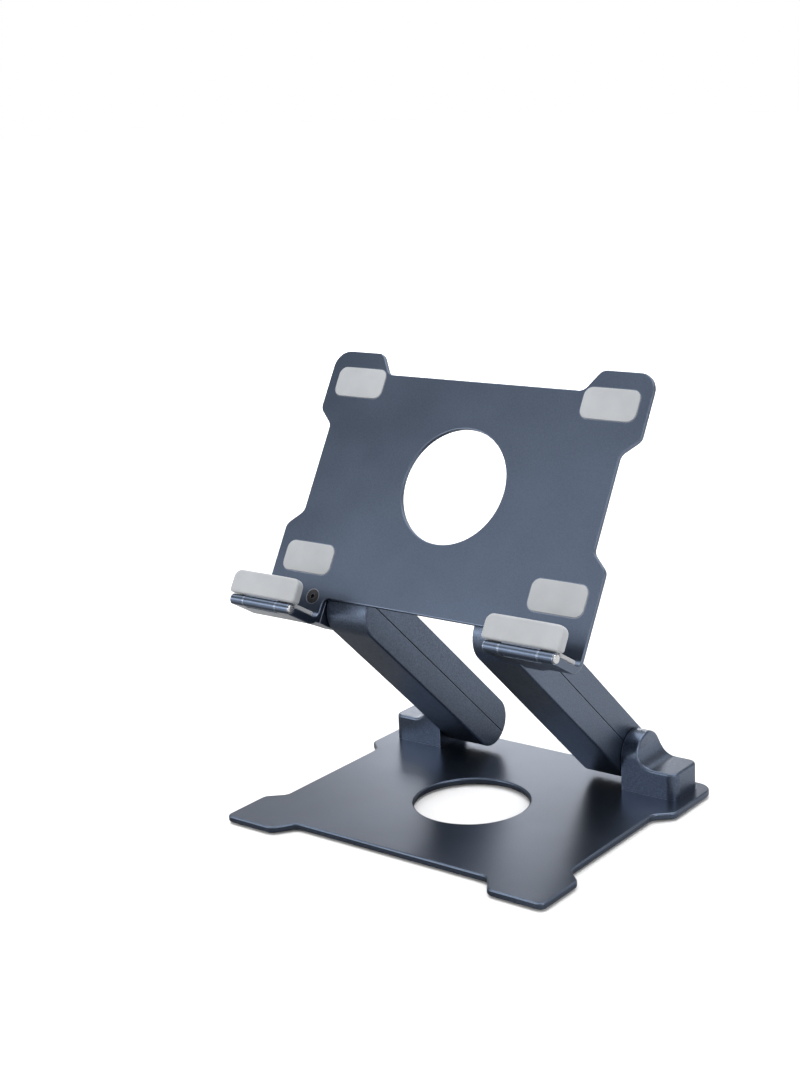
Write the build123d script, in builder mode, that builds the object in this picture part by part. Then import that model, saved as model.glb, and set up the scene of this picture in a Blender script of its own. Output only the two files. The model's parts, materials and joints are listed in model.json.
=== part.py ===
from build123d import *

import os
from math import cos, radians, sin, tan

# Folding tablet stand: a notched base plate, two box-section arms, and a tilting holder plate
# whose two hooks end in hinged lips. Millimetres; +Z up, +X to the user's right, -Y towards
# the user. Origin: centre of the footprint, on the table.

# ---------------------------------------------------------------- driving dimensions

# Base plate
plate_width = 170.0
plate_depth = 143.2
plate_thickness = 3.0
plate_edge_radius = 0.8
foot_standout = 1.0
foot_places = [(-69, -61), (69, -61), (-68, 65.4), (68, 65.4)]
foot_size = (24.0, 8.0)
foot_pocket = 0.5
cable_hole_radius = 26.3
end_notch_depth = 9.8
end_notch_half_width = 51.4
end_notch_slope = 6.6
side_notch_depth = 7.8
side_notch_slope = 7.0
plate_side_notch = (-45.4, 35.4)
plate_front_corner = 3.0
plate_back_corner = 8.0
notch_corner = 4.5

# Arms: rectangular box section with round ends, split lengthwise into two shells
arm_length = 110.6
arm_lift = 43.3
arm_radius = 12.0
arm_inner_x = 28.2
arm_outer_x = 50.7
arm_wall = 1.8
arm_edge_radius = 0.8
seam_width = 0.4
seam_depth = 0.9

# Lower pivot, measured from the top of the base plate
pivot_y = 57.9
pivot_height = 13.9

# Hinge hardware: one shaft, washer, disc-spring stack and nut per hinge
shaft_radius = 4.0
shaft_tip_x = 32.6
shaft_end_x = 57.0
shaft_chamfer = 0.4
fit_gap = 0.02
running_gap = 0.05
washer_radius = 6.8
washer_thickness = 1.2
washer_gap = 0.1
nut_thickness = 4.8
nut_radius = 6.9
spring_count = 4
spring_thickness = 0.5
spring_cone = 0.38
spring_radius = 8.0

# Spine: steel bar inside each arm, with an eye and a round boss at each hinge
spine_x = 42.4
spine_thickness = 6.0
spine_bar_height = 13.0
eye_radius = 10.15
boss_radius = 7.0
boss_end_x = 50.5

# Brackets: cast ear with a concave web running out to a foot
ear_x = 51.1
ear_thickness = 7.9
web_radius = 8.0
bracket_corner = 4.5
bracket_edge = 1.1
bracket_arch_radius = 11.0
base_arch_y = 56.6
base_arch_height = 15.0
base_foot_height = 12.4
base_foot_end = 78.75
holder_foot_height = 8.6
holder_foot_end = 76.0
bracket_screw_x = (57.5, 71.5)

# Holder plate: a 2.2 mm sheet that leans back, with a hook at each end of its lower edge
holder_tilt = 59.2
panel_back = 12.35
panel_thickness = 2.2
panel_half_width = 84.5
panel_top = 116.0
panel_side_notch = (31.0, 87.0)
panel_window_height = 58.0
panel_edge_radius = 0.5
hook_inner_x = 51.4
hook_corner = 3.0
hook_outer_bend = 7.0
hook_inner_bend = 3.0
shelf_thickness = 3.7
pad_places = [(-66, 17), (66, 17), (-66, 101), (66, 101)]
pad_size = (27.0, 14.0)
pad_corner = 4.0
pad_standout = 0.6
pad_pocket = 0.4
liner_thickness = 2.0
liner_inset = 0.3

# Lip hinge: knuckled barrel along the front of each hook's shelf
barrel_radius = 2.4
barrel_u = -10.7
barrel_n = 34.0
pin_radius = 1.5
pin_head_radius = 2.1
pin_head_height = 0.9
pin_head_rounding = 0.7
pin_inset = 0.3
knuckle_length = 7.2
knuckle_gap = 0.15
shelf_clearance = 0.5

# Lip and its silicone sleeve
lip_thickness = 1.4
lip_half_gap = 0.1
lip_corner = 2.0
sleeve_x = (49.2, 86.5)
sleeve_u = (-7.7, 2.7)
sleeve_thickness = 5.0
sleeve_wall = 1.9
sleeve_corner = 3.7
sleeve_edge = 1.0

# Screws
shell_screw_at = (24.0, 55.3, 86.6)
shell_screw_x = 35.8
shell_screw_radius = 1.25
shell_screw_head = 2.6
shell_screw_head_height = 1.5
shell_screw_recess = 2.2
shell_screw_reach = 15.0
shell_screw_tip_gap = 0.5
shell_boss_radius = 3.8
plate_screw_radius = 1.6
plate_screw_head = 3.35
plate_screw_length = 9.0
countersink_angle = 82
socket_radius = 1.2
plate_socket_depth = 1.2
shell_socket_depth = 1.0
screw_gap = 0.1

# ---------------------------------------------------------------- reference planes

plate_top = foot_standout + plate_thickness
across = Vector(1, 0, 0)
arm_along = Vector(0, -cos(radians(arm_lift)), sin(radians(arm_lift)))
lower_pivot = Vector(0, pivot_y, plate_top + pivot_height)
upper_pivot = lower_pivot + arm_along * arm_length
holder_up = Vector(0, cos(radians(holder_tilt)), sin(radians(holder_tilt)))
holder_out = Vector(0, -sin(radians(holder_tilt)), cos(radians(holder_tilt)))

# Side view of an arm: first coordinate along the arm, second towards its front face
arm_side = Plane(origin=lower_pivot, x_dir=arm_along, z_dir=across)
# Middle plane of the arms, through both hinge axes: across, then along the arm
arm_face = Plane(origin=lower_pivot, x_dir=across, z_dir=arm_side.y_dir)
# Side view of the holder: up the plate, then out of its face
holder_side = Plane(origin=upper_pivot, x_dir=holder_up, z_dir=across)
# Front view of the holder: across, then up the plate
holder_face = Plane(origin=upper_pivot, x_dir=across, z_dir=holder_out)

panel_front = panel_back + panel_thickness
shelf_underside = barrel_u - barrel_radius
shelf_top = shelf_underside + shelf_thickness
bend_start = shelf_underside + hook_outer_bend
hook_width = panel_half_width - hook_inner_x
arm_width = arm_outer_x - arm_inner_x
arm_ends = ((0, 0), (arm_length, 0))
touching = 0.01
shell_screw_places = [(shell_screw_x, along) for along in shell_screw_at]
washer_face_x = boss_end_x + washer_gap


# ---------------------------------------------------------------- base plate and feet


def side_notch_points(half_width, notch):
    """Shallow notch in a plate's right edge, between the two given heights."""
    floor_x = half_width - side_notch_depth
    return [
        (half_width, notch[0]),
        (floor_x, notch[0] + side_notch_slope),
        (floor_x, notch[1] - side_notch_slope),
        (half_width, notch[1]),
    ]


def end_notch_points(edge, inward):
    """Wide notch in a plate's end, from its middle to its mouth; inward is 1 or -1."""
    floor = edge + inward * end_notch_depth
    return [
        (0, floor),
        (end_notch_half_width, floor),
        (end_notch_half_width + end_notch_slope, edge),
    ]


# Right half of the outline; one radius for each point between the first and the last
base_points = [
    *end_notch_points(-plate_depth / 2, 1),
    (plate_width / 2, -plate_depth / 2),
    *side_notch_points(plate_width / 2, plate_side_notch),
    (plate_width / 2, plate_depth / 2),
    (0, plate_depth / 2),
]
base_radii = [notch_corner] * 2 + [plate_front_corner] + [notch_corner] * 4 + [plate_back_corner]

base_screw_planes = [
    Plane(origin=(side * x, base_arch_y, foot_standout), x_dir=across, z_dir=(0, 0, -1))
    for side in (-1, 1)
    for x in bracket_screw_x
]

with BuildPart() as base_plate:
    with BuildSketch(Plane.XY.offset(foot_standout)):
        with BuildLine():
            FilletPolyline(base_points, radius=base_radii)
            mirror(about=Plane.YZ)
        make_face()
        Circle(cable_hole_radius, mode=Mode.SUBTRACT)
    extrude(amount=plate_thickness)
    fillet(base_plate.faces().filter_by(Axis.Z).edges(), plate_edge_radius)
    with BuildSketch(Plane.XY.offset(foot_standout)):
        with Locations(*foot_places):
            SlotOverall(foot_size[0] + screw_gap, foot_size[1] + screw_gap)
    extrude(amount=foot_pocket, mode=Mode.SUBTRACT)
    with Locations(*base_screw_planes):
        CounterSinkHole(
            radius=plate_screw_radius + screw_gap,
            counter_sink_radius=plate_screw_head + screw_gap,
            counter_sink_angle=countersink_angle,
        )

with BuildPart() as foot_pads:
    with BuildSketch(Plane.XY):
        with Locations(*foot_places):
            SlotOverall(*foot_size)
    extrude(amount=foot_standout + foot_pocket - fit_gap)


# ---------------------------------------------------------------- hinge brackets


def is_rim(edge, arch_height):
    """True for the sharp edges between a casting's sides and its top, ear and web faces."""
    box = edge.bounding_box()
    on_mount = box.max.Z < touching
    on_inner_face = box.max.X < ear_x + touching
    upright = box.size.X < touching and box.size.Y < touching
    along_y = box.size.X < touching and box.size.Z < touching
    at_far_end = box.min.X > ear_x + ear_thickness + web_radius + touching
    along_x = box.size.Y < touching and box.size.Z < touching
    at_arch_foot = along_x and abs(box.min.Z - arch_height) < touching
    smooth_line = upright or (along_y and not at_far_end) or at_arch_foot
    return not (on_mount or on_inner_face or smooth_line)


def bracket_casting(arch_height, foot_height, foot_end, shaft_offset, shaft_height):
    """Right-hand bracket standing on z = 0, its ear centred on y = 0."""
    crest = arch_height + bracket_arch_radius
    ear_outer_x = ear_x + ear_thickness
    profile = [
        (ear_x, 0),
        (ear_x, crest),
        (ear_outer_x, crest),
        (ear_outer_x, foot_height),
        (foot_end, foot_height),
        (foot_end, 0),
    ]
    with BuildPart() as casting:
        with BuildSketch(Plane.XZ):
            with BuildLine():
                FilletPolyline(profile, radius=[0, 0, 0, web_radius, 0, 0], close=True)
            make_face()
        extrude(amount=bracket_arch_radius, both=True)
        with BuildSketch(Plane.YZ.offset(ear_x)):
            with Locations((0, arch_height)):
                Circle(bracket_arch_radius)
            Rectangle(
                2 * bracket_arch_radius,
                arch_height,
                align=(Align.CENTER, Align.MIN),
            )
        extrude(amount=foot_end - ear_x, mode=Mode.INTERSECT)
        outer_corners = casting.edges().filter_by(Axis.Z).group_by(Axis.X)[-1]
        fillet(outer_corners, bracket_corner)
        rim = casting.edges().filter_by(lambda edge: is_rim(edge, arch_height))
        fillet(rim, bracket_edge)
        with BuildSketch(Plane.YZ.offset(ear_x)):
            with Locations((shaft_offset, shaft_height)):
                Circle(shaft_radius + fit_gap)
        extrude(amount=shaft_end_x - ear_x + screw_gap, mode=Mode.SUBTRACT)
        with BuildSketch(Plane.YZ.offset(ear_x)):
            with Locations((shaft_offset, shaft_height)):
                Circle(washer_radius + fit_gap)
        extrude(amount=washer_face_x + washer_thickness - ear_x, mode=Mode.SUBTRACT)
        with BuildSketch(Plane.XY):
            with Locations(*[(x, 0) for x in bracket_screw_x]):
                Circle(plate_screw_radius + fit_gap)
        extrude(amount=plate_screw_length - panel_thickness + screw_gap, mode=Mode.SUBTRACT)
    return casting


base_mount = Plane(origin=(0, base_arch_y, plate_top), x_dir=across, z_dir=(0, 0, 1))
holder_mount = Plane(
    origin=upper_pivot + holder_out * panel_back,
    x_dir=across,
    z_dir=-holder_out,
)
base_casting = bracket_casting(
    base_arch_height,
    base_foot_height,
    base_foot_end,
    shaft_offset=pivot_y - base_arch_y,
    shaft_height=pivot_height,
)
holder_casting = bracket_casting(
    panel_back,
    holder_foot_height,
    holder_foot_end,
    shaft_offset=0,
    shaft_height=panel_back,
)

with BuildPart() as bracket_right:
    with Locations(base_mount):
        add(base_casting.part)

with BuildPart() as bracket_left:
    mirror(bracket_right.part, about=Plane.YZ)

with BuildPart() as holder_bracket_right:
    with Locations(holder_mount):
        add(holder_casting.part)

with BuildPart() as holder_bracket_left:
    mirror(holder_bracket_right.part, about=Plane.YZ)


# ---------------------------------------------------------------- countersunk screws

head_height = (plate_screw_head - plate_screw_radius) / tan(radians(countersink_angle / 2))
top_centred = (Align.CENTER, Align.CENTER, Align.MAX)

with BuildPart() as plate_screw:
    Cone(plate_screw_radius, plate_screw_head, head_height, align=top_centred)
    Cylinder(plate_screw_radius, plate_screw_length, align=top_centred)
    with BuildSketch(Plane.XY):
        RegularPolygon(socket_radius, 6)
    extrude(amount=-plate_socket_depth, mode=Mode.SUBTRACT)

holder_screw_planes = [
    Plane(
        origin=upper_pivot + holder_out * panel_front + across * (side * x),
        x_dir=across,
        z_dir=holder_out,
    )
    for side in (-1, 1)
    for x in bracket_screw_x
]

with BuildPart() as bracket_screws:
    with Locations(*base_screw_planes):
        add(plate_screw.part)

with BuildPart() as holder_bracket_screws:
    with Locations(*holder_screw_planes):
        add(plate_screw.part)


# ---------------------------------------------------------------- arms


def arm_shell(facing):
    """Half of the right arm's casing: facing is 1 for the front half, -1 for the back half."""
    overall_length = arm_length + 2 * arm_radius
    middle_x = (arm_inner_x + arm_outer_x) / 2
    with BuildPart() as shell:
        with BuildSketch(arm_side.offset(arm_inner_x)):
            with Locations((arm_length / 2, 0)):
                SlotCenterToCenter(arm_length, 2 * arm_radius)
        extrude(amount=arm_width)
        fillet(shell.faces().filter_by(Axis.X).edges(), arm_edge_radius)
        with BuildSketch(arm_side.offset(arm_inner_x + arm_wall)):
            with Locations((arm_length / 2, 0)):
                SlotCenterToCenter(arm_length, 2 * (arm_radius - arm_wall))
        extrude(amount=arm_width - 2 * arm_wall, mode=Mode.SUBTRACT)
        with BuildSketch(arm_side.offset(arm_outer_x - arm_wall)):
            with Locations(*arm_ends):
                Circle(boss_radius + running_gap)
        extrude(amount=arm_wall, mode=Mode.SUBTRACT)
        with BuildSketch(arm_face):
            with Locations(*shell_screw_places):
                Circle(shell_boss_radius)
        extrude(amount=facing * (arm_radius - arm_wall))
        split(bisect_by=arm_face, keep=Keep.TOP if facing > 0 else Keep.BOTTOM)
        with BuildSketch(arm_face):
            with Locations((middle_x, arm_length / 2)):
                Rectangle(arm_width, overall_length)
                Rectangle(
                    arm_width - 2 * seam_depth,
                    overall_length - 2 * seam_depth,
                    mode=Mode.SUBTRACT,
                )
        extrude(amount=seam_width / 2, both=True, mode=Mode.SUBTRACT)
        with BuildSketch(arm_face.offset(-arm_radius)):
            with Locations(*shell_screw_places):
                Circle(shell_screw_head + screw_gap)
        extrude(amount=shell_screw_recess, mode=Mode.SUBTRACT)
        with BuildSketch(arm_face.offset(-arm_radius)):
            with Locations(*shell_screw_places):
                Circle(shell_screw_radius + fit_gap)
        extrude(amount=shell_screw_reach + shell_screw_recess, mode=Mode.SUBTRACT)
    return shell


arm_right_front_shell = arm_shell(1)
arm_right_back_shell = arm_shell(-1)

with BuildPart() as arm_right_spine:
    with BuildSketch(arm_side.offset(spine_x)):
        with Locations((arm_length / 2, 0)):
            Rectangle(arm_length, spine_bar_height)
        with Locations(*arm_ends):
            Circle(eye_radius)
    extrude(amount=spine_thickness)
    with BuildSketch(arm_side.offset(spine_x + spine_thickness)):
        with Locations(*arm_ends):
            Circle(boss_radius)
    extrude(amount=boss_end_x - spine_x - spine_thickness)
    with BuildSketch(arm_side.offset(spine_x)):
        with Locations(*arm_ends):
            Circle(shaft_radius + running_gap)
    extrude(amount=boss_end_x - spine_x, mode=Mode.SUBTRACT)

with BuildPart() as arm_right_screws:
    seat = arm_face.offset(shell_screw_recess - arm_radius)
    head_face = seat.offset(-shell_screw_head_height)
    with BuildSketch(head_face):
        with Locations(*shell_screw_places):
            Circle(shell_screw_head)
    extrude(amount=shell_screw_head_height)
    with BuildSketch(seat):
        with Locations(*shell_screw_places):
            Circle(shell_screw_radius)
    extrude(amount=shell_screw_reach - shell_screw_tip_gap)
    with BuildSketch(head_face):
        with Locations(*shell_screw_places):
            RegularPolygon(socket_radius, 6)
    extrude(amount=shell_socket_depth, mode=Mode.SUBTRACT)

with BuildPart() as arm_left_front_shell:
    mirror(arm_right_front_shell.part, about=Plane.YZ)

with BuildPart() as arm_left_back_shell:
    mirror(arm_right_back_shell.part, about=Plane.YZ)

with BuildPart() as arm_left_spine:
    mirror(arm_right_spine.part, about=Plane.YZ)

with BuildPart() as arm_left_screws:
    mirror(arm_right_screws.part, about=Plane.YZ)


# ---------------------------------------------------------------- hinge hardware


def pivot_plane(pivot, x):
    """Plane square to a hinge axis, at a distance x from the middle of the stand."""
    return Plane(origin=(x, pivot.Y, pivot.Z), x_dir=(0, 1, 0), z_dir=across)


def hinge_shaft(pivot):
    """Plain steel shaft, set in the bracket's ear and running in the arm's spine."""
    with BuildPart() as shaft:
        with BuildSketch(pivot_plane(pivot, shaft_tip_x)):
            Circle(shaft_radius)
        extrude(amount=shaft_end_x - shaft_tip_x)
        chamfer(shaft.edges().filter_by(GeomType.CIRCLE), shaft_chamfer)
    return shaft


def friction_washers(pivot):
    """Washer between bracket and arm, on both sides of the stand."""
    with BuildPart() as washers:
        with BuildSketch(pivot_plane(pivot, washer_face_x)):
            Circle(washer_radius)
            Circle(shaft_radius + screw_gap, mode=Mode.SUBTRACT)
        extrude(amount=washer_thickness - fit_gap)
        mirror(about=Plane.YZ)
    return washers


def disc_springs(pivot):
    """Stack of coned washers, alternately reversed, on both sides of the stand."""
    pitch = spring_thickness + spring_cone + fit_gap
    bore = shaft_radius + screw_gap
    lowest_x = spine_x - running_gap - spring_count * pitch
    axial_plane = Plane(origin=pivot, x_dir=across, z_dir=(0, -1, 0))
    with BuildPart() as springs:
        for number in range(spring_count):
            near = lowest_x + number * pitch
            bore_shift = spring_cone if number % 2 else 0
            rim_shift = spring_cone - bore_shift
            with BuildSketch(axial_plane):
                with BuildLine():
                    Polyline(
                        (near + bore_shift, bore),
                        (near + bore_shift + spring_thickness, bore),
                        (near + rim_shift + spring_thickness, spring_radius),
                        (near + rim_shift, spring_radius),
                        close=True,
                    )
                make_face()
            revolve(axis=Axis(pivot, across))
        mirror(about=Plane.YZ)
    return springs


def lock_nuts(pivot):
    """Hexagonal nut that closes the spring stack, on both sides of the stand."""
    stack = spring_count * (spring_thickness + spring_cone + fit_gap)
    nut_x = spine_x - running_gap - stack - fit_gap - nut_thickness
    with BuildPart() as nuts:
        with BuildSketch(pivot_plane(pivot, nut_x)):
            RegularPolygon(nut_radius, 6)
            Circle(shaft_radius + fit_gap, mode=Mode.SUBTRACT)
        extrude(amount=nut_thickness)
        mirror(about=Plane.YZ)
    return nuts


lower_shaft_right = hinge_shaft(lower_pivot)
upper_shaft_right = hinge_shaft(upper_pivot)

with BuildPart() as lower_shaft_left:
    mirror(lower_shaft_right.part, about=Plane.YZ)

with BuildPart() as upper_shaft_left:
    mirror(upper_shaft_right.part, about=Plane.YZ)


# ---------------------------------------------------------------- holder plate

# Right half of the outline; it steps down to the hook at the end of its lower edge
panel_points = [
    (0, 0),
    (hook_inner_x, 0),
    (hook_inner_x, bend_start),
    (panel_half_width, bend_start),
    *side_notch_points(panel_half_width, panel_side_notch),
    (panel_half_width, panel_top),
    *reversed(end_notch_points(panel_top, -1)),
]
panel_radii = [hook_corner, 0, 0] + [notch_corner] * 4 + [plate_back_corner] + [notch_corner] * 2

lip_inner_x = hook_inner_x + knuckle_length
lip_outer_x = panel_half_width - knuckle_length

with BuildPart() as hook:
    with BuildSketch(holder_side.offset(hook_inner_x)):
        with BuildLine():
            FilletPolyline(
                (0, panel_back),
                (shelf_underside, panel_back),
                (shelf_underside, barrel_n),
                (shelf_top, barrel_n),
                (shelf_top, panel_front),
                (0, panel_front),
                radius=[0, hook_outer_bend, 0, 0, hook_inner_bend, 0],
                close=True,
            )
        make_face()
    extrude(amount=hook_width)
    # Rounds the long edges of the bent strip, not the short ones across its thickness
    side_edges = hook.faces().filter_by(Axis.X).edges()
    long_edges = side_edges.filter_by(lambda edge: edge.length > shelf_thickness + touching)
    fillet(long_edges, panel_edge_radius)
    with BuildSketch(holder_side.offset(hook_inner_x)):
        with Locations((barrel_u, barrel_n)):
            Circle(barrel_radius)
    extrude(amount=hook_width)
    with BuildSketch(holder_side.offset(hook_inner_x)):
        with Locations((barrel_u, barrel_n)):
            Circle(pin_radius + fit_gap)
    extrude(amount=hook_width, mode=Mode.SUBTRACT)
    # Gap for the lip's own knuckle
    with BuildSketch(holder_side.offset(lip_inner_x)):
        with Locations((barrel_u, barrel_n)):
            Rectangle(4 * barrel_radius, 2 * (barrel_radius + shelf_clearance))
    extrude(amount=lip_outer_x - lip_inner_x, mode=Mode.SUBTRACT)

with BuildPart() as holder_panel:
    with BuildSketch(holder_face.offset(panel_back)):
        with BuildLine():
            FilletPolyline(panel_points, radius=panel_radii)
            mirror(about=Plane.YZ)
        make_face()
        with Locations((0, panel_window_height)):
            Circle(cable_hole_radius, mode=Mode.SUBTRACT)
    extrude(amount=panel_thickness)
    sheet_faces = holder_panel.faces().filter_by(Plane(origin=(0, 0, 0), z_dir=holder_out))
    fillet(sheet_faces.edges(), panel_edge_radius)
    add(hook.part)
    mirror(hook.part, about=Plane.YZ)
    with BuildSketch(holder_face.offset(panel_front)):
        with Locations(*pad_places):
            RectangleRounded(pad_size[0] + screw_gap, pad_size[1] + screw_gap, pad_corner)
    extrude(amount=-pad_pocket, mode=Mode.SUBTRACT)
    with Locations(*holder_screw_planes):
        CounterSinkHole(
            radius=plate_screw_radius + screw_gap,
            counter_sink_radius=plate_screw_head + screw_gap,
            depth=3 * panel_thickness,
            counter_sink_angle=countersink_angle,
        )

with BuildPart() as panel_pads:
    with BuildSketch(holder_face.offset(panel_front - pad_pocket + fit_gap)):
        with Locations(*pad_places):
            RectangleRounded(*pad_size, pad_corner)
    extrude(amount=pad_pocket + pad_standout - fit_gap)

liner_back = panel_front + hook_inner_bend + fit_gap
liner_front = barrel_n - sleeve_thickness / 2 - shelf_clearance

with BuildPart() as shelf_liners:
    with BuildSketch(holder_side.offset(hook_inner_x + liner_inset)):
        with Locations((shelf_top + fit_gap, liner_back)):
            Rectangle(liner_thickness, liner_front - liner_back, align=Align.MIN)
    extrude(amount=hook_width - 2 * liner_inset)
    mirror(about=Plane.YZ)


# ---------------------------------------------------------------- hinged lips

lip_top = sleeve_u[1] - sleeve_wall
lip_bottom = sleeve_u[0]

with BuildPart() as lip_right:
    with BuildSketch(holder_side.offset(lip_inner_x + knuckle_gap)):
        with Locations((barrel_u, barrel_n)):
            Circle(barrel_radius)
    extrude(amount=lip_outer_x - lip_inner_x - 2 * knuckle_gap)
    with BuildSketch(holder_face.offset(barrel_n - lip_thickness / 2)):
        with Locations((lip_inner_x + knuckle_gap, barrel_u)):
            Rectangle(
                lip_outer_x - lip_inner_x - 2 * knuckle_gap,
                lip_top - barrel_u,
                align=Align.MIN,
            )
        with Locations(((sleeve_x[0] + sleeve_x[1]) / 2, (lip_top + lip_bottom) / 2)):
            RectangleRounded(
                sleeve_x[1] - sleeve_x[0] - 2 * sleeve_wall,
                lip_top - lip_bottom,
                lip_corner,
            )
    extrude(amount=lip_thickness)
    with BuildSketch(holder_side.offset(lip_inner_x)):
        with Locations((barrel_u, barrel_n)):
            Circle(pin_radius + running_gap)
    extrude(amount=lip_outer_x - lip_inner_x, mode=Mode.SUBTRACT)

with BuildPart() as lip_sleeve_right:
    with BuildSketch(holder_face.offset(barrel_n - sleeve_thickness / 2)):
        with BuildLine():
            FilletPolyline(
                (sleeve_x[0], sleeve_u[0]),
                (sleeve_x[1], sleeve_u[0]),
                (sleeve_x[1], sleeve_u[1]),
                (sleeve_x[0], sleeve_u[1]),
                radius=[sleeve_edge, sleeve_edge, sleeve_corner, sleeve_corner],
                close=True,
            )
        make_face()
    extrude(amount=sleeve_thickness)
    long_faces = lip_sleeve_right.faces().filter_by(Plane(origin=(0, 0, 0), z_dir=holder_out))
    fillet(long_faces.edges(), sleeve_edge)
    with BuildSketch(holder_face.offset(barrel_n - lip_thickness / 2 - lip_half_gap)):
        with Locations(((sleeve_x[0] + sleeve_x[1]) / 2, sleeve_u[0])):
            Rectangle(
                sleeve_x[1] - sleeve_x[0] - 2 * (sleeve_wall - lip_half_gap),
                lip_top - sleeve_u[0] + lip_half_gap,
                align=(Align.CENTER, Align.MIN),
            )
    extrude(amount=lip_thickness + 2 * lip_half_gap, mode=Mode.SUBTRACT)

with BuildPart() as lip_left:
    mirror(lip_right.part, about=Plane.YZ)

with BuildPart() as lip_sleeve_left:
    mirror(lip_sleeve_right.part, about=Plane.YZ)

# Both pins have their domed head on the +X end
with BuildPart() as lip_pin_right:
    with BuildSketch(holder_side.offset(hook_inner_x + pin_inset)):
        with Locations((barrel_u, barrel_n)):
            Circle(pin_radius)
    extrude(amount=hook_width - pin_inset + fit_gap)
    with BuildSketch(holder_side.offset(panel_half_width + fit_gap)):
        with Locations((barrel_u, barrel_n)):
            Circle(pin_head_radius)
    extrude(amount=pin_head_height)
    head_rim = lip_pin_right.edges().filter_by(GeomType.CIRCLE).sort_by(Axis.X)[-1]
    fillet(head_rim, pin_head_rounding)

with BuildPart() as lip_pin_left:
    with Locations((-hook_width - 2 * hook_inner_x, 0, 0)):
        add(lip_pin_right.part)


# ---------------------------------------------------------------- export

pieces = {
    "base_plate": base_plate,
    "foot_pads": foot_pads,
    "bracket_left": bracket_left,
    "bracket_right": bracket_right,
    "bracket_screws": bracket_screws,
    "lower_shaft_left": lower_shaft_left,
    "lower_shaft_right": lower_shaft_right,
    "lower_friction_washers": friction_washers(lower_pivot),
    "lower_disc_springs": disc_springs(lower_pivot),
    "lower_lock_nuts": lock_nuts(lower_pivot),
    "arm_left_front_shell": arm_left_front_shell,
    "arm_left_back_shell": arm_left_back_shell,
    "arm_left_spine": arm_left_spine,
    "arm_left_screws": arm_left_screws,
    "arm_right_front_shell": arm_right_front_shell,
    "arm_right_back_shell": arm_right_back_shell,
    "arm_right_spine": arm_right_spine,
    "arm_right_screws": arm_right_screws,
    "holder_panel": holder_panel,
    "panel_pads": panel_pads,
    "shelf_liners": shelf_liners,
    "holder_bracket_left": holder_bracket_left,
    "holder_bracket_right": holder_bracket_right,
    "holder_bracket_screws": holder_bracket_screws,
    "upper_shaft_left": upper_shaft_left,
    "upper_shaft_right": upper_shaft_right,
    "upper_friction_washers": friction_washers(upper_pivot),
    "upper_disc_springs": disc_springs(upper_pivot),
    "upper_lock_nuts": lock_nuts(upper_pivot),
    "lip_pin_left": lip_pin_left,
    "lip_pin_right": lip_pin_right,
    "lip_left": lip_left,
    "lip_sleeve_left": lip_sleeve_left,
    "lip_right": lip_right,
    "lip_sleeve_right": lip_sleeve_right,
}

os.makedirs("parts", exist_ok=True)
for name, piece in pieces.items():
    piece.part.label = name
    export_step(piece.part, f"parts/{name}.step")
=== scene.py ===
import json
import math

import bmesh
import bpy
from mathutils import Matrix, Vector


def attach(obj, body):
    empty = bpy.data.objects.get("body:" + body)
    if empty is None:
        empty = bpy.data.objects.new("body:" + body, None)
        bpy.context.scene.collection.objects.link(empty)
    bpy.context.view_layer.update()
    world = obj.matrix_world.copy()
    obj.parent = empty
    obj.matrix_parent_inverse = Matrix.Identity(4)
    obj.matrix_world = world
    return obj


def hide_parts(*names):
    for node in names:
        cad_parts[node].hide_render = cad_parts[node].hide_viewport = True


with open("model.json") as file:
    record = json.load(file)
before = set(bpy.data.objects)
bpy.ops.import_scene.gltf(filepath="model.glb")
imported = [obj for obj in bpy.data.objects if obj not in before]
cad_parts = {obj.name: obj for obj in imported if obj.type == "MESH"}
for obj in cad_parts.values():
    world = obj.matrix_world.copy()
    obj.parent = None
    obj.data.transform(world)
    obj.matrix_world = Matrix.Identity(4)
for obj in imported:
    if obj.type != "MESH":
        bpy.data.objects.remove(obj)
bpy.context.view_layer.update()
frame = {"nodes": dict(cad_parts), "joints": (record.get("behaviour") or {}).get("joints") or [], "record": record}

# Looks of the folding tablet stand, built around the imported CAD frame. Metres; +Z up; -Y is the
# side that faces the user. The holder plate leans back, so its soft parts are made in the plate's
# own axes: across, up the plate, and out of its face.

MM = 0.001
NODES = frame["nodes"]
JOINTS = {joint["name"]: joint for joint in frame["joints"]}

HOLDER_TILT = math.radians(59.2)
HOLDER_ORIGIN = Vector(JOINTS["holder_tilt"]["pos_m"])
ACROSS = Vector((1, 0, 0))
UP_PLATE = Vector((0, math.cos(HOLDER_TILT), math.sin(HOLDER_TILT)))
OUT_OF_PLATE = Vector((0, -math.sin(HOLDER_TILT), math.cos(HOLDER_TILT)))
HOLDER_AXES = Matrix((ACROSS, UP_PLATE, OUT_OF_PLATE)).transposed()
LEDGE_AXES = Matrix((ACROSS, -OUT_OF_PLATE, UP_PLATE)).transposed()
DOWN_AXES = Matrix(((1, 0, 0), (0, -1, 0), (0, 0, -1))).transposed()


# ------------------------------------------------------------------------------ node helpers


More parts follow.
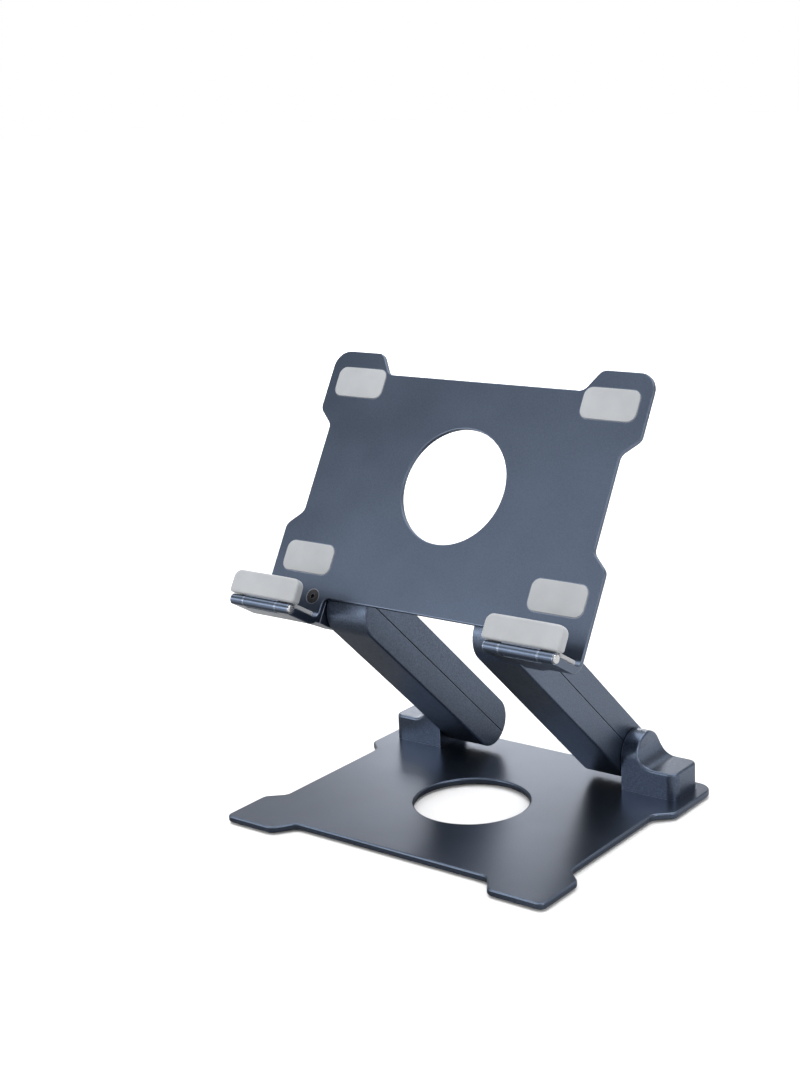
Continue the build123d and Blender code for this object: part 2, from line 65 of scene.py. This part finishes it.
class Shader:
    """A material's node tree, with short calls for the nodes that the materials share."""

    def __init__(self, name):
        self.material = bpy.data.materials.new(name)
        self.material.use_nodes = True
        self.tree = self.material.node_tree
        self.tree.nodes.clear()
        self.surface = self.add("ShaderNodeBsdfPrincipled")
        output = self.add("ShaderNodeOutputMaterial")
        self.link(self.surface.outputs["BSDF"], output.inputs["Surface"])
        self.place = self.add("ShaderNodeTexCoord").outputs["Object"]

    def add(self, kind, **settings):
        node = self.tree.nodes.new(kind)
        for key, value in settings.items():
            setattr(node, key, value)
        return node

    def link(self, source, target):
        self.tree.links.new(source, target)

    def stretched(self, scale):
        """Object coordinates multiplied by a vector, for grain that runs one way."""
        mapping = self.add("ShaderNodeMapping")
        mapping.inputs["Scale"].default_value = scale
        self.link(self.place, mapping.inputs["Vector"])
        return mapping.outputs["Vector"]

    def noise(self, scale, detail=4.0, roughness=0.6, place=None):
        """Noise in object space; scale is in features per metre."""
        node = self.add("ShaderNodeTexNoise")
        node.inputs["Scale"].default_value = scale
        node.inputs["Detail"].default_value = detail
        node.inputs["Roughness"].default_value = roughness
        self.link(place or self.place, node.inputs["Vector"])
        return node.outputs["Fac"]

    def ramp(self, factor, low, high, start=0.0, end=1.0):
        """Maps a value from start..end to low..high, held at both ends."""
        node = self.add("ShaderNodeMapRange")
        node.inputs["From Min"].default_value = start
        node.inputs["From Max"].default_value = end
        node.inputs["To Min"].default_value = low
        node.inputs["To Max"].default_value = high
        self.link(factor, node.inputs["Value"])
        return node.outputs["Result"]

    def mix(self, factor, first, second, blend="MIX"):
        """Colour mix; first and second are colours or sockets."""
        node = self.add("ShaderNodeMix", data_type="RGBA", blend_type=blend)
        sockets = {"Factor": factor, "A": first, "B": second}
        for name, value in sockets.items():
            target = next(s for s in node.inputs if s.name == name and s.enabled)
            if isinstance(value, bpy.types.NodeSocket):
                self.link(value, target)
            elif name == "Factor":
                target.default_value = value
            else:
                target.default_value = (*value, 1.0)
        return next(s for s in node.outputs if s.enabled)

    def maths(self, operation, first, second):
        node = self.add("ShaderNodeMath", operation=operation)
        for slot, value in enumerate((first, second)):
            if isinstance(value, bpy.types.NodeSocket):
                self.link(value, node.inputs[slot])
            else:
                node.inputs[slot].default_value = value
        return node.outputs["Value"]

    def rounded(self, radius):
        """Normal of edges rounded to a radius."""
        bevel = self.add("ShaderNodeBevel", samples=6)
        bevel.inputs["Radius"].default_value = radius
        return bevel.outputs["Normal"]

    def edges(self, radius):
        """1 along edges and 0 on flats, from how far the rounded normal turns."""
        true_normal = self.add("ShaderNodeNewGeometry").outputs["Normal"]
        compare = self.add("ShaderNodeVectorMath", operation="DOT_PRODUCT")
        self.link(self.rounded(radius), compare.inputs[0])
        self.link(true_normal, compare.inputs[1])
        return self.ramp(compare.outputs["Value"], 1.0, 0.0, 0.80, 0.995)

    def bump(self, height, distance, strength, under=None):
        node = self.add("ShaderNodeBump")
        node.inputs["Distance"].default_value = distance
        node.inputs["Strength"].default_value = strength
        self.link(height, node.inputs["Height"])
        if under is not None:
            self.link(under, node.inputs["Normal"])
        return node.outputs["Normal"]

    def set(self, **values):
        """Sets the surface's inputs: underscores stand for spaces in the input's name."""
        for key, value in values.items():
            target = self.surface.inputs[key.replace("_", " ")]
            if isinstance(value, bpy.types.NodeSocket):
                self.link(value, target)
            else:
                target.default_value = value


# ------------------------------------------------------------------------------ materials


def painted_metal(name, colour, roughness, grain, edge_wear_and_highlight, mottle, softened):
    """Slate powder coat: fine grain, orange peel, soft tone changes, and edges painted lighter, partly as wear and
    partly as a painted highlight.

    mottle is how many patches of gloss there are per metre; softened rounds the shaded edges.
    """
    shader = Shader(name)
    cloudy = shader.noise(16, detail=3)
    light = [channel * 1.08 for channel in colour]
    dark = [channel * 0.93 for channel in colour]
    tone = shader.mix(shader.ramp(cloudy, 0, 1, 0.35, 0.65), dark, light)
    spread = 0.13 * grain
    fine = shader.ramp(shader.noise(1500, detail=2), 1 - spread, 1 + spread, 0.35, 0.65)
    tone = shader.mix(1.0, tone, fine, blend="MULTIPLY")
    # Edges are painted lighter in patches: partly rubbed wear, partly a painted highlight along the rounded edges.
    edge_wear_and_highlight_tone = [channel * 2.3 + 0.16 for channel in colour]
    patchy = shader.ramp(shader.noise(140), 0.5 * edge_wear_and_highlight, edge_wear_and_highlight)
    tone = shader.mix(shader.maths("MULTIPLY", shader.edges(0.9 * MM), patchy), tone, edge_wear_and_highlight_tone)
    mottled = shader.ramp(shader.noise(mottle, detail=1), roughness - 0.02, roughness + 0.02, 0.3, 0.7)
    shader.set(Base_Color=tone, Metallic=0.97, Roughness=mottled)
    soft_edge = shader.rounded(0.35 * MM) if softened else None
    peel = shader.bump(shader.noise(1100, detail=2), 0.007 * MM * grain, 0.5, under=soft_edge)
    shader.set(Normal=peel)
    return shader.material


def silicone(name, colour, roughness=0.46):
    """Moulded silicone: matt skin, faint mottling, a little glow, and rims painted lighter where the surface turns
    from view, as a painted highlight.
    """
    shader = Shader(name)
    mottle = shader.noise(60, detail=4)
    light = [channel * 1.04 for channel in colour]
    dark = [channel * 0.93 for channel in colour]
    tone = shader.mix(shader.ramp(mottle, 0, 1, 0.35, 0.65), dark, light)
    dust = shader.ramp(shader.noise(900, detail=6, roughness=0.75), 0, 0.22, 0.62, 0.8)
    tone = shader.mix(dust, tone, [channel * 1.2 + 0.02 for channel in colour])
    # Rims that turn away from view are painted lighter: a painted highlight.
    facing = shader.add("ShaderNodeLayerWeight").outputs["Facing"]
    rim = shader.ramp(facing, 0, 0.7, 0.62, 0.98)
    tone = shader.mix(rim, tone, [channel * 2.3 for channel in colour])
    rough = shader.ramp(shader.noise(240), roughness - 0.05, roughness + 0.08)
    shader.set(Base_Color=tone, Roughness=rough, Specular_IOR_Level=0.4)
    shader.set(Subsurface_Weight=0.08, Subsurface_Scale=0.8 * MM, Subsurface_Radius=(1, 1, 1))
    shader.set(Sheen_Weight=0.12, Sheen_Roughness=0.5)
    skin = shader.bump(shader.noise(2400, detail=3), 0.03 * MM, 0.5)
    shader.set(Normal=skin)
    return shader.material


def bare_metal(name, colour, roughness, turned=(1, 1, 1)):
    """Bare steel or chrome; turned stretches the machining lines."""
    shader = Shader(name)
    lines = shader.noise(3000, detail=2, place=shader.stretched(turned))
    smudges = shader.noise(90, detail=4)
    tone = shader.mix(shader.ramp(smudges, 0, 0.5, 0.4, 0.7), colour, [c * 0.8 for c in colour])
    tone = shader.mix(shader.maths("MULTIPLY", shader.edges(0.3 * MM), 0.35), tone, (0.9, 0.9, 0.9))
    rough = shader.ramp(lines, max(0.03, roughness - 0.08), roughness + 0.08, 0.3, 0.7)
    shader.set(Base_Color=tone, Metallic=1.0, Roughness=rough)
    shader.set(Normal=shader.bump(lines, 0.01 * MM, 0.3))
    return shader.material


def dark_polymer(name):
    """Acetal washer: near black, dull, with faint turning marks."""
    shader = Shader(name)
    rings = shader.noise(1800, detail=2)
    tone = shader.mix(shader.ramp(rings, 0, 1, 0.3, 0.7), (0.012, 0.012, 0.014), (0.03, 0.03, 0.033))
    shader.set(Base_Color=tone, Roughness=shader.ramp(rings, 0.5, 0.7))
    shader.set(Normal=shader.bump(rings, 0.02 * MM, 0.4))
    return shader.material


SLATE = (0.074, 0.094, 0.133)
# Each paint's edges are painted lighter, partly as wear and partly as a painted highlight; the shells least.
MATERIALS = {
    "plate_paint": painted_metal("plate_paint", SLATE, 0.30, grain=0.5, edge_wear_and_highlight=1.0, mottle=45,
                                 softened=False),
    "shell_paint": painted_metal("shell_paint", SLATE, 0.38, grain=1.7, edge_wear_and_highlight=0.15, mottle=420,
                                 softened=True),
    "cast_paint": painted_metal("cast_paint", SLATE, 0.31, grain=1.3, edge_wear_and_highlight=0.9, mottle=420,
                                softened=True),
    "silicone_light": silicone("silicone_light", (0.288, 0.299, 0.314)),
    "silicone_grey": silicone("silicone_grey", (0.035, 0.037, 0.04), roughness=0.6),
    "black_screw": bare_metal("black_screw", (0.05, 0.05, 0.055), 0.34),
    "steel": bare_metal("steel", (0.52, 0.52, 0.53), 0.28, turned=(8, 1, 1)),
    "spring_steel": bare_metal("spring_steel", (0.40, 0.40, 0.42), 0.30),
    "washer_polymer": dark_polymer("washer_polymer"),
    "pin_chrome": bare_metal("pin_chrome", (0.45, 0.45, 0.46), 0.24),
}


def finish_cad_nodes():
    """Gives each CAD node its slot's material."""
    for part in frame["record"]["subparts"]:
        node = NODES[part["node"]]
        node.data.materials.clear()
        node.data.materials.append(MATERIALS[part["material_slot"]])


# ------------------------------------------------------------------------------ mesh helpers


def new_piece(name, mesh, material_slot, body, replaced):
    """Adds a finished mesh as a piece that rides on a body and stands for CAD nodes."""
    piece = bpy.data.objects.new(name, mesh)
    bpy.context.scene.collection.objects.link(piece)
    mesh.materials.append(MATERIALS[material_slot])
    for polygon in mesh.polygons:
        polygon.use_smooth = True
    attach(piece, body)
    if replaced:
        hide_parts(*replaced)
    return piece


# Rings of a cushion's crowned end, as fractions of its outline, and steps round a rolled rim
CROWN_RINGS = (0.94, 0.8, 0.55, 0.28)
ROLL_STEPS = 4


def rounded_outline(half_width, half_height, radii, steps=6):
    """Points round a rectangle; radii are the corners' from lower left, anticlockwise."""
    corners = [(-1, -1, 180), (1, -1, 270), (1, 1, 0), (-1, 1, 90)]
    points = []
    for (side_x, side_y, start), radius in zip(corners, radii):
        centre_x = side_x * (half_width - radius)
        centre_y = side_y * (half_height - radius)
        for step in range(steps + 1):
            angle = math.radians(start + 90 * step / steps)
            x = centre_x + radius * math.cos(angle)
            y = centre_y + radius * math.sin(angle)
            points.append((x, y))
    return points


def cushion(data, outline, layers, centre, axes, crowns):
    """Stacks inset copies of an outline into a closed form with crowned ends.

    Each layer is (height, inset); crowns are how far the first and last ends swell outwards.
    """
    half_x = max(abs(x) for x, _ in outline)
    half_y = max(abs(y) for _, y in outline)

    def ring(height, inset, fraction):
        shrink_x = (1 - inset / half_x) * fraction
        shrink_y = (1 - inset / half_y) * fraction
        places = [Vector((x * shrink_x, y * shrink_y, height)) for x, y in outline]
        return [data.verts.new(centre + axes @ place) for place in places]

    def bridge(lower, upper):
        for i in range(len(outline)):
            j = (i + 1) % len(outline)
            data.faces.new((lower[i], lower[j], upper[j], upper[i]))

    rings = [ring(height, inset, 1.0) for height, inset in layers]
    for lower, upper in zip(rings, rings[1:]):
        bridge(lower, upper)
    ends = ((rings[0], layers[0], -crowns[0]), (rings[-1], layers[-1], crowns[1]))
    for edge, (height, inset), swell in ends:
        for fraction in CROWN_RINGS:
            inner = ring(height + swell * (1 - fraction**2), inset, fraction)
            bridge(edge, inner)
            edge = inner
        middle = data.verts.new(centre + axes @ Vector((0, 0, height + swell)))
        for i in range(len(outline)):
            data.faces.new((edge[i], edge[(i + 1) % len(outline)], middle))
    bmesh.ops.recalc_face_normals(data, faces=data.faces)


def rolled_layers(depth, rim):
    """Layers of a slab of half-depth depth whose two rims are rounded to a radius."""
    angles = [math.radians(90 * step / ROLL_STEPS) for step in range(ROLL_STEPS + 1)]
    lower = [(-depth + rim * (1 - math.sin(a)), rim * (1 - math.cos(a))) for a in reversed(angles)]
    upper = [(-height, inset) for height, inset in reversed(lower)]
    return lower + upper


def finish_mesh(data, name):
    mesh = bpy.data.meshes.new(name)
    data.to_mesh(mesh)
    data.free()
    return mesh


def smooth_surface(piece):
    modifier = piece.modifiers.new("subdivision", "SUBSURF")
    modifier.levels = 1
    modifier.render_levels = 1


# ------------------------------------------------------------------------------ soft parts


def solid_boxes(node, axes, origin):
    """Low and high corners, in the given axes, of each separate solid of a CAD node."""
    data = bmesh.new()
    data.from_mesh(NODES[node].data)
    bmesh.ops.remove_doubles(data, verts=data.verts, dist=0.001 * MM)
    inverse = axes.transposed()
    boxes = []
    waiting = set(data.verts)
    while waiting:
        group = [waiting.pop()]
        for vertex in group:
            near = {edge.other_vert(vertex) for edge in vertex.link_edges} & waiting
            waiting -= near
            group.extend(near)
        places = [inverse @ (vertex.co - origin) for vertex in group]
        low = Vector([min(place[i] for place in places) for i in range(3)])
        high = Vector([max(place[i] for place in places) for i in range(3)])
        boxes.append((low, high))
    data.free()
    return sorted(boxes, key=lambda box: tuple(box[0]))


# A sleeve's corner radii are from its lower left, anticlockwise. Its soft lower edge hangs a little
# below its CAD solid, still clear of the lip's barrel.
SLEEVE_CORNERS = (1.3 * MM, 1.3 * MM, 3.7 * MM, 3.7 * MM)
SLEEVE_RIM = 1.0 * MM
SLEEVE_CROWN = 0.10 * MM
SLEEVE_SAG = 0.35 * MM


def make_lip_sleeve(side):
    """Silicone sleeve: a soft slab, round at its top corners, with rolled rims."""
    (low, high), = solid_boxes(f"lip_sleeve_{side}", HOLDER_AXES, HOLDER_ORIGIN)
    low.y -= SLEEVE_SAG
    size = high - low
    centre = HOLDER_ORIGIN + HOLDER_AXES @ ((low + high) / 2)
    outline = rounded_outline(size.x / 2, size.y / 2, SLEEVE_CORNERS, steps=7)
    layers = rolled_layers(size.z / 2 - SLEEVE_CROWN, SLEEVE_RIM)
    data = bmesh.new()
    cushion(data, outline, layers, centre, HOLDER_AXES, (SLEEVE_CROWN, SLEEVE_CROWN))
    name = f"silicone_lip_{side}"
    mesh = finish_mesh(data, name)
    piece = new_piece(name, mesh, "silicone_light", f"lip_{side}", (f"lip_sleeve_{side}",))
    smooth_surface(piece)


def make_cushions(name, node, slot, body, axes, origin, corner, rim, crown):
    """Soft pads in place of a node's plain solids; the last of the axes points out of them."""
    data = bmesh.new()
    for low, high in solid_boxes(node, axes, origin):
        size = high - low
        centre = origin + axes @ Vector(((low.x + high.x) / 2, (low.y + high.y) / 2, low.z))
        outline = rounded_outline(size.x / 2, size.y / 2, (corner,) * 4)
        height = size.z - crown
        layers = [(0.02 * MM, 0.04 * MM), (0.3 * height, 0.0)]
        for step in range(4):
            angle = math.radians(30 * step)
            layers.append((height - rim * (1 - math.sin(angle)), rim * (1 - math.cos(angle))))
        single = bmesh.new()
        cushion(single, outline, layers, centre, axes, (0.0, crown))
        part = finish_mesh(single, "part")
        data.from_mesh(part)
        bpy.data.meshes.remove(part)
    smooth_surface(new_piece(name, finish_mesh(data, name), slot, body, (node,)))


def make_soft_parts():
    for side in ("left", "right"):
        make_lip_sleeve(side)
    make_cushions(
        "soft_panel_pads", "panel_pads", "silicone_light", "holder",
        HOLDER_AXES, HOLDER_ORIGIN, corner=3.9 * MM, rim=0.3 * MM, crown=0.15 * MM,
    )
    make_cushions(
        "soft_shelf_liners", "shelf_liners", "silicone_light", "holder",
        LEDGE_AXES, HOLDER_ORIGIN, corner=1.2 * MM, rim=0.5 * MM, crown=0.1 * MM,
    )
    make_cushions(
        "soft_feet", "foot_pads", "silicone_grey", "base",
        DOWN_AXES, Vector((0, 0, 0)), corner=3.95 * MM, rim=0.4 * MM, crown=0.12 * MM,
    )


# ------------------------------------------------------------------------------ stage


FLOOR_HALF = 8.0
FLOOR_COLOUR = (0.94, 0.94, 0.94)

# Reflections see the table near this point as darker than it is, and lighter with distance
SHADE_CENTRE = (-0.06, -0.06, 0)
SHADE_REACH = (0.12, 0.24)
SHADE_COLOURS = ((0.13, 0.13, 0.13), (0.80, 0.80, 0.80))

# The camera sees the far table fade into the white sky over these distances
FADE_REACH = (0.4, 1.4)


def make_floor():
    """Wide flat white table."""
    signs = ((-1, -1), (1, -1), (1, 1), (-1, 1))
    data = bmesh.new()
    data.faces.new([data.verts.new((x * FLOOR_HALF, y * FLOOR_HALF, 0)) for x, y in signs])
    mesh = finish_mesh(data, "floor")
    floor = bpy.data.objects.new("floor", mesh)
    bpy.context.scene.collection.objects.link(floor)
    shader = Shader("floor_white")
    measure = shader.add("ShaderNodeVectorMath", operation="DISTANCE")
    shader.link(shader.place, measure.inputs[0])
    measure.inputs[1].default_value = SHADE_CENTRE
    distance = measure.outputs["Value"]
    reflected = shader.mix(shader.ramp(distance, 0, 1, *SHADE_REACH), *SHADE_COLOURS)
    camera_ray = shader.add("ShaderNodeLightPath").outputs["Is Camera Ray"]
    tone = shader.mix(camera_ray, reflected, FLOOR_COLOUR)
    fade = shader.maths("MULTIPLY", camera_ray, shader.ramp(distance, 0, 1, *FADE_REACH))
    shader.set(Base_Color=tone, Roughness=0.65, Emission_Strength=fade)
    mesh.materials.append(shader.material)


# Sine of the elevation where the horizon glow starts and stops fading, and its two strengths
HORIZON_GLOW = (0.30, 0.46)
WORLD_STRENGTH = (1.2, 0.40)


def make_world():
    """White studio that is brightest along the horizon and dimmer overhead."""
    world = bpy.data.worlds.new("studio")
    world.use_nodes = True
    tree = world.node_tree
    background = tree.nodes["Background"]
    direction = tree.nodes.new("ShaderNodeTexCoord").outputs["Generated"]
    separate = tree.nodes.new("ShaderNodeSeparateXYZ")
    strength = tree.nodes.new("ShaderNodeMapRange")
    strength.interpolation_type = "SMOOTHSTEP"
    strength.inputs["From Min"].default_value = HORIZON_GLOW[0]
    strength.inputs["From Max"].default_value = HORIZON_GLOW[1]
    strength.inputs["To Min"].default_value = WORLD_STRENGTH[0]
    strength.inputs["To Max"].default_value = WORLD_STRENGTH[1]
    # The camera itself sees a plain white sky
    seen = tree.nodes.new("ShaderNodeMix")
    camera_ray = tree.nodes.new("ShaderNodeLightPath").outputs["Is Camera Ray"]
    tree.links.new(direction, separate.inputs["Vector"])
    tree.links.new(separate.outputs["Z"], strength.inputs["Value"])
    tree.links.new(camera_ray, seen.inputs["Factor"])
    tree.links.new(strength.outputs["Result"], seen.inputs["A"])
    seen.inputs["B"].default_value = 1.0
    tree.links.new(seen.outputs["Result"], background.inputs["Strength"])
    background.inputs["Color"].default_value = (1, 1, 1, 1)
    bpy.context.scene.world = world


# Each light's place, its width and height, and its power in watts
LIGHTS = {
    "key": ((-0.2, 0.2, 1.7), (2.4, 2.4), 54),
    "right_fill": ((1.5, -0.5, 0.8), (0.7, 0.9), 8),
    "back_sheen": ((-1.12, 1.66, 0.45), (0.50, 0.24), 3.4),
    "front_fill": ((-0.7, -1.5, 1.1), (1.3, 0.9), 4),
    "edge_sheen": ((-0.96, -1.28, 0.48), (0.9, 0.6), 7.5),
}
LIGHT_TARGET = Vector((0, 0, 0.09))


def soft_light(name, place, size, power):
    lamp = bpy.data.lights.new(name, "AREA")
    lamp.shape = "RECTANGLE"
    lamp.size, lamp.size_y = size
    lamp.energy = power
    light = bpy.data.objects.new(name, lamp)
    light.location = place
    light.rotation_mode = "QUATERNION"
    light.rotation_quaternion = (LIGHT_TARGET - Vector(place)).to_track_quat("-Z", "Y")
    bpy.context.scene.collection.objects.link(light)


# The camera's azimuth, elevation and roll in degrees, the point that it looks at, and its lens
CAMERA_ANGLES = (38.15, 14.45, -2.63)
CAMERA_AIM = Vector((-0.0376, 0.0042, 0.1221))
CAMERA_DISTANCE = 0.8263
CAMERA_LENS = 61.6


def make_camera():
    """Camera at the viewing angle, aimed at a point beside the stand, with a slight roll."""
    azimuth, elevation, roll = map(math.radians, CAMERA_ANGLES)
    flat = math.cos(elevation)
    back = Vector((math.sin(azimuth) * flat, -math.cos(azimuth) * flat, math.sin(elevation)))
    level = Vector((math.cos(azimuth), math.sin(azimuth), 0))
    upright = back.cross(level)
    right = level * math.cos(roll) + upright * math.sin(roll)
    up = upright * math.cos(roll) - level * math.sin(roll)
    camera = bpy.data.objects.new("camera", bpy.data.cameras.new("camera"))
    bpy.context.scene.collection.objects.link(camera)
    turn = Matrix((right, up, back)).transposed().to_4x4()
    camera.matrix_world = Matrix.Translation(CAMERA_AIM + back * CAMERA_DISTANCE) @ turn
    camera.data.sensor_width = 36
    camera.data.lens = CAMERA_LENS
    camera.data.clip_start = 0.01
    camera.data.clip_end = 20
    bpy.context.scene.camera = camera


# ------------------------------------------------------------------------------ build

finish_cad_nodes()
make_soft_parts()
make_floor()
make_world()
for light_name, light_settings in LIGHTS.items():
    soft_light(light_name, *light_settings)
make_camera()
bpy.context.scene.view_settings.view_transform = "Standard"
